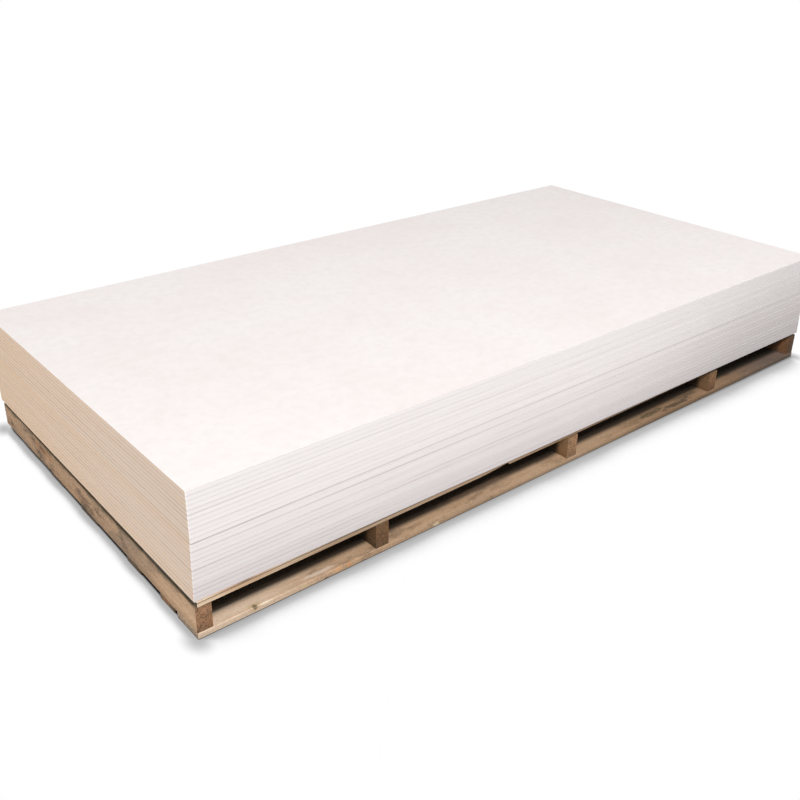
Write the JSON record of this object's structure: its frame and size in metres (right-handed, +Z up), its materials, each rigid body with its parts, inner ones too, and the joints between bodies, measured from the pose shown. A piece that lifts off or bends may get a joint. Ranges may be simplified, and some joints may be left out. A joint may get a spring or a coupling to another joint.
{
  "type": "stack of fire-resistant boards on a pallet",
  "caption": "Stack of square-edged white fire-resistant building boards lying on a low timber pallet made to the boards' size.",
  "frame": {"origin": "on the floor, under the middle of the pallet", "axes": "+X along the boards' length, +Y across their width, +Z up"},
  "size_m": [2.45, 1.2318, 0.388],
  "materials": {
    "board": "matte",
    "bearer_timber": "matte",
    "top_plank_timber": "matte",
    "bottom_plank_timber": "matte"
  },
  "bodies": {
    "root": {"board_01": "board", "board_02": "board", "board_03": "board", "board_04": "board", "board_05": "board", "board_06": "board", "board_07": "board", "board_08": "board", "board_09": "board", "board_10": "board", "board_11": "board", "board_12": "board", "board_13": "board", "board_14": "board", "board_15": "board", "board_16": "board", "board_17": "board", "board_18": "board", "board_19": "board", "board_20": "board", "board_21": "board", "board_22": "board", "board_23": "board", "board_24": "board", "stringer_1": "bearer_timber", "stringer_2": "bearer_timber", "stringer_3": "bearer_timber", "stringer_4": "bearer_timber", "stringer_5": "bearer_timber", "top_plank_1": "top_plank_timber", "top_plank_2": "top_plank_timber", "top_plank_3": "top_plank_timber", "top_plank_4": "top_plank_timber", "bottom_plank_1": "bottom_plank_timber", "bottom_plank_2": "bottom_plank_timber", "bottom_plank_3": "bottom_plank_timber", "bottom_plank_4": "bottom_plank_timber", "bottom_plank_5": "bottom_plank_timber", "bottom_plank_6": "bottom_plank_timber", "bottom_plank_7": "bottom_plank_timber"}
  },
  "joints": []
}
